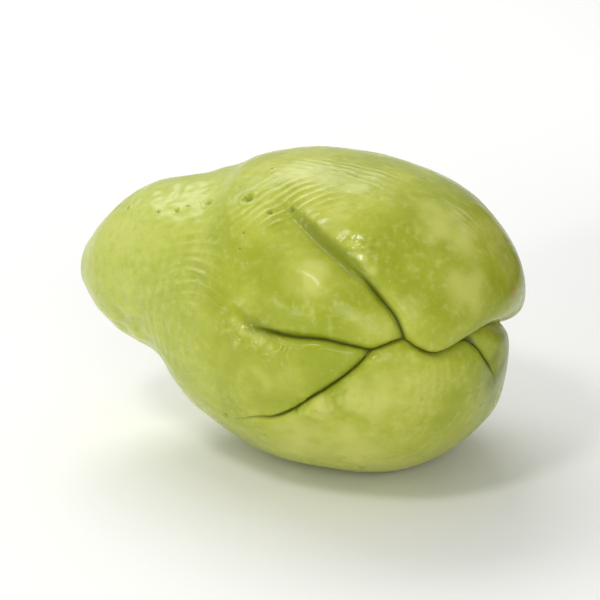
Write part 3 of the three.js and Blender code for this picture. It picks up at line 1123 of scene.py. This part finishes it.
@dataclass
class Fruit:
    """The whole chayote."""

    edge_open: float = 1.8
    edge_crease: float = 0.8
    edge_pit: float = 0.3
    edge_scar: float = 0.6
    crease_band: float = 3.0
    crease_reach: float = 5.0
    pit_reach: float = 2.6
    scar_reach: float = 8.0
    inside_share: float = 0.9995
    crest_highlight_share: float = 0.6
    crest_highlight_height: float = 0.45
    spot_grain: float = 4.5
    spot_mean: float = 0.85
    spot_change: float = 0.8
    spot_offset: float = 150
    least_lip: float = 0.05
    least_valley: float = 0.3
    patch_reach: float = 1.3
    neck_start: float = 115
    neck_run: float = 45
    clear_height: float = 2 * MM
    scar_colour: float = 3.2
    scar_ragged: float = 1.0
    scar_grain: float = 1.6

    def __post_init__(self) -> None:
        """Makes the formula and its fine relief."""
        self.form = FruitForm()
        self.relief = SkinRelief(self.form)

    def wanted_edges(self) -> Callable[[np.ndarray, np.ndarray], np.ndarray]:
        """Prepares the test of which edges are too long.

        Returns:
            A function from the directions of the edges' ends to a list of truths.
        """
        samples = np.vstack([c.points[(c.lip > self.least_lip) | (c.valley > self.least_valley)] for c in self.form.creases])
        tree = kdtree.KDTree(len(samples))
        for i, sample in enumerate(samples):
            tree.insert(Vector(sample), i)
        tree.balance()

        def too_long(first: np.ndarray, second: np.ndarray) -> np.ndarray:
            """Says which edges are longer than the surface wants there."""
            a = self.form.body(first)
            b = self.form.body(second)
            middle = (a + b) / 2
            length = np.linalg.norm(a - b, axis=1)
            wanted = np.full(len(middle), self.edge_open)
            check = np.nonzero(length > self.edge_pit)[0]
            gap = np.array([tree.find(Vector(point))[2] for point in middle[check]])
            share = np.clip((gap - self.crease_band) / self.crease_reach, 0, 1)
            wanted[check] = self.edge_crease + (self.edge_open - self.edge_crease) * share
            scar = angles_from(middle / lengths(middle), self.form.STEM_END)
            wanted[scar < self.scar_reach] = self.edge_scar
            for patch, place in zip(self.relief.ridged, self.relief.ridged_places):
                reach = self.patch_reach * max(patch.length, patch.breadth)
                near = np.linalg.norm(middle - place, axis=1) < reach
                wanted[near] = np.minimum(wanted[near], patch.spacing / self.relief.FACETS_PER_RIDGE)
            for pit, place in zip(self.relief.pits, self.relief.places):
                near = np.linalg.norm(middle - place, axis=1) < self.pit_reach * pit.radius + length / 2
                wanted[near] = np.minimum(wanted[near], self.edge_pit * max(1, pit.radius))
            return length > wanted

        return too_long

    def mesh(self) -> bpy.types.Mesh:
        """Builds the skin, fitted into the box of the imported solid.

        Returns:
            The mesh, in metres, with the values that its material reads.
        """
        ball = FineBall()
        too_long = self.wanted_edges()
        while ball.split(too_long):
            pass
        dirs = ball.dirs
        body = self.form.body(dirs)
        # The fold also gives the painted shade: a dark line at each crease's bottom and a darker band beside it
        points, crease, valley = self.form.folded(dirs)
        wrinkles = self.relief.wrinkled(body)
        points = points + self.form.normals(dirs) * (self.relief.height(body) + wrinkles)[:, None]
        points = self.form.pitched(points)
        points[:, 2] = np.maximum(points[:, 2], self.form.floor)
        points = self.fitted(points)
        mesh = bpy.data.meshes.new("chayote_fruit")
        mesh.from_pydata(points.tolist(), [], ball.faces.tolist())
        mesh.shade_smooth()
        ragged = self.scar_ragged * self.relief.noise(body, self.scar_grain)
        scar = np.exp(-((angles_from(dirs, self.form.STEM_END) + ragged) / self.scar_colour) ** 6)
        neck = np.clip((angles_from(dirs, self.form.BLOSSOM_END) - self.neck_start) / self.neck_run, 0, 1)
        stain = self.spots(body, STAIN_SPOTS)
        # Pale patches and painted highlights
        pale_and_highlight = self.spots(body, PALE_AND_HIGHLIGHT_SPOTS)
        # the crests of wrinkles and lumps get a painted highlight
        pale_and_highlight = np.maximum(pale_and_highlight, self.crest_highlight_share * np.clip(wrinkles / self.crest_highlight_height, 0, 1))
        # painted shade on the third lobe
        third_lobe_shade = self.spots(body, THIRD_LOBE_SHADE_SPOTS)
        deep = self.spots(body, DEEP_SPOTS)
        shine = self.spots(body, SHINE_SPOTS)
        clear = np.clip((points[:, 2] - points[:, 2].min()) / self.clear_height - 0.5, 0, 1)
        values = {
            # painted shade in the small pits
            "pit": self.relief.pitted(body),
            "crease": crease, "valley": valley, "neck": neck, "scar": scar, "stain": stain,
            "pale_and_highlight": pale_and_highlight, "third_lobe_shade": third_lobe_shade, "deep": deep, "shine": shine,
            "open_skin": np.clip(1 - 2 * crease - valley - scar, 0, 1) * clear,
        }
        for name, value in values.items():
            attribute = mesh.attributes.new(name, "FLOAT", "POINT")
            attribute.data.foreach_set("value", value.astype(np.float32))
        return mesh

    def spots(self, body: np.ndarray, places: tuple[tuple[float, float, float], ...]) -> np.ndarray:
        """Marks soft mottled spots on the skin.

        Args:
            body: points of the smooth body.
            places: for each spot its two angles and its radius in mm.

        Returns:
            How far each point is inside a spot, from 0 to 1.
        """
        inside = np.zeros(len(body))
        for along, around, radius in places:
            away = np.linalg.norm(body - self.form.body(direction(along, around)[None]), axis=1) / radius
            inside = np.maximum(inside, np.exp(-away**2))
        broken = self.spot_mean + self.spot_change * self.relief.noise(body + self.spot_offset, self.spot_grain)
        return np.clip(inside * broken, 0, 1)

    def fitted(self, points: np.ndarray) -> np.ndarray:
        """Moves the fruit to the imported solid's place and keeps it inside that solid's box.

        Args:
            points: the skin's points in mm from the belly's middle.

        Returns:
            The points in metres in the frame of the part.
        """
        low, high = (np.array(corner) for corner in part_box(NODE))
        least = points.min(0)
        most = points.max(0)
        share = ((high - low) / ((most - least) * MM)).min() * self.inside_share
        middle = np.array([(least[0] + most[0]) / 2, (least[1] + most[1]) / 2, least[2]])
        rest = np.array([(low[0] + high[0]) / 2, (low[1] + high[1]) / 2, low[2]])
        return (points - middle) * MM * share + rest

    def build(self) -> bpy.types.Object:
        """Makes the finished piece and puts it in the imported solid's place.

        Returns:
            The fruit's object.
        """
        maker = FinishMaker()
        skin = bpy.data.objects.new("chayote_fruit", self.mesh())
        bpy.context.collection.objects.link(skin)
        skin.data.materials.append(maker.skin(WAXY_SKIN))
        corky = maker.plain(CORKY_SPECK)
        specks = Lenticels().mesh(skin, corky)
        LOG.info("lenticels: %d triangles", len(specks.polygons))
        scattered = bpy.data.objects.new("lenticels", specks)
        bpy.context.collection.objects.link(scattered)
        skin.data.materials.append(corky)
        with bpy.context.temp_override(active_object=skin, selected_editable_objects=[skin, scattered]):
            bpy.ops.object.join()
        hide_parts(NODE)
        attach(skin, BODY)
        return skin


@dataclass
class SoftLight:
    """One soft box: where it stands from the fruit, its size and its power in watts."""

    name: str
    place: tuple[float, float, float]
    size: tuple[float, float]
    power: float


@dataclass
class Studio:
    """The pale table, the soft boxes and the camera at the photograph's viewing angle."""

    azimuth: float = 18.0
    elevation: float = 22.0
    distance: float = 1.0
    view_width: float = 0.158
    sensor: float = 36.0
    table_size: float = 6.0
    surround_dark: float = 0.24
    surround_bright: float = 0.6
    bright_side: tuple[float, float, float] = (-0.85, 0.2, 0.4)
    lights: tuple[SoftLight, ...] = (
        SoftLight("key soft box", (-0.2, -0.49, 0.79), (0.16, 0.16), 1.9),
        SoftLight("low soft box", (-0.53, -0.79, 0.05), (0.1, 0.1), 0.7),
        SoftLight("left soft box", (-0.95, -0.08, 0.42), (0.5, 0.5), 0.3),
        SoftLight("overhead soft box", (-0.4, 0.45, 0.75), (0.8, 0.4), 4.2),
        SoftLight("rim soft box", (0.45, 0.8, 0.5), (0.15, 0.3), 0.8),
        SoftLight("front soft box", (0.65, -1.05, 0.5), (0.8, 0.6), 5.2),
    )
    flag_place: tuple[float, float] = (0.159, 0.157)
    flag_size: tuple[float, float] = (0.24, 0.2)

    def table(self) -> bpy.types.Object:
        """Makes the table top.

        Returns:
            The table's object.
        """
        half = self.table_size / 2
        corners = [(-half, -half, 0), (half, -half, 0), (half, half, 0), (-half, half, 0)]
        mesh = bpy.data.meshes.new("table")
        mesh.from_pydata(corners, [], [(0, 1, 2, 3)])
        table = bpy.data.objects.new("table", mesh)
        bpy.context.collection.objects.link(table)
        mesh.materials.append(FinishMaker().plain(WHITE_LAMINATE))
        return table

    def light(self, box: SoftLight, target: Vector) -> bpy.types.Object:
        """Hangs one soft box, turned to the fruit.

        Args:
            box: the soft box.
            target: the fruit's middle.

        Returns:
            The light's object.
        """
        data = bpy.data.lights.new(box.name, "AREA")
        data.shape = "RECTANGLE"
        data.size, data.size_y = box.size
        data.energy = box.power
        lamp = bpy.data.objects.new(box.name, data)
        lamp.location = target + Vector(box.place)
        lamp.rotation_euler = (target - lamp.location).to_track_quat("-Z", "Y").to_euler()
        bpy.context.collection.objects.link(lamp)
        return lamp

    def camera(self, target: Vector) -> bpy.types.Object:
        """Sets up the camera.

        Args:
            target: the fruit's middle.

        Returns:
            The camera's object.
        """
        a = math.radians(self.azimuth)
        e = math.radians(self.elevation)
        back = Vector((math.sin(a) * math.cos(e), -math.cos(a) * math.cos(e), math.sin(e)))
        data = bpy.data.cameras.new("camera")
        data.sensor_width = self.sensor
        data.lens = self.sensor * self.distance / self.view_width
        camera = bpy.data.objects.new("camera", data)
        camera.location = target + back * self.distance
        camera.rotation_euler = (-back).to_track_quat("-Z", "Y").to_euler()
        bpy.context.collection.objects.link(camera)
        bpy.context.scene.camera = camera
        return camera

    def flag(self) -> bpy.types.Object:
        """Stands a black card on the right, out of the picture, for a darker edge.

        Returns:
            The card's object.
        """
        wide, high = self.flag_size
        corners = [(-wide / 2, 0, 0), (wide / 2, 0, 0), (wide / 2, 0, high), (-wide / 2, 0, high)]
        mesh = bpy.data.meshes.new("flag")
        mesh.from_pydata(corners, [], [(0, 1, 2, 3)])
        card = bpy.data.objects.new("flag", mesh)
        card.location = (*self.flag_place, 0)
        card.rotation_euler = (0, 0, math.atan2(self.flag_place[1], self.flag_place[0]) - math.pi / 2)
        bpy.context.collection.objects.link(card)
        mesh.materials.append(FinishMaker().plain(BLACK_CARD))
        card.visible_camera = False
        return card

    def surround(self) -> None:
        """Surrounds the set with white that is brighter on one side."""
        world = bpy.data.worlds.new("white surround")
        world.use_nodes = True
        tree = world.node_tree
        way = add_node(tree, "ShaderNodeTexCoord", {}).outputs["Generated"]
        side = add_node(tree, "ShaderNodeVectorMath", {0: way, 1: self.bright_side}, operation="DOT_PRODUCT")
        strength = add_node(tree, "ShaderNodeMapRange", {
            "Value": side.outputs["Value"], "From Min": -0.8, "From Max": 0.6,
            "To Min": self.surround_dark, "To Max": self.surround_bright,
        })
        background = tree.nodes["Background"]
        background.inputs["Color"].default_value = (1, 1, 1, 1)
        tree.links.new(strength.outputs[0], background.inputs["Strength"])
        bpy.context.scene.world = world

    def build(self) -> None:
        """Makes the whole set round the fruit."""
        low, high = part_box(NODE)
        target = (low + high) / 2
        self.table()
        for box in self.lights:
            self.light(box, target)
        self.camera(target)
        self.flag()
        self.surround()
        bpy.context.scene.view_settings.view_transform = "Standard"


def main() -> None:
    """Builds the fruit and its studio."""
    logging.basicConfig(level=logging.INFO, format="%(message)s")
    fruit = Fruit().build()
    LOG.info("fruit: %d triangles", len(fruit.data.polygons))
    Studio().build()
    LOG.info("studio: table, %d soft boxes and the camera", len(Studio().lights))


if __name__ == "__main__":
    main()
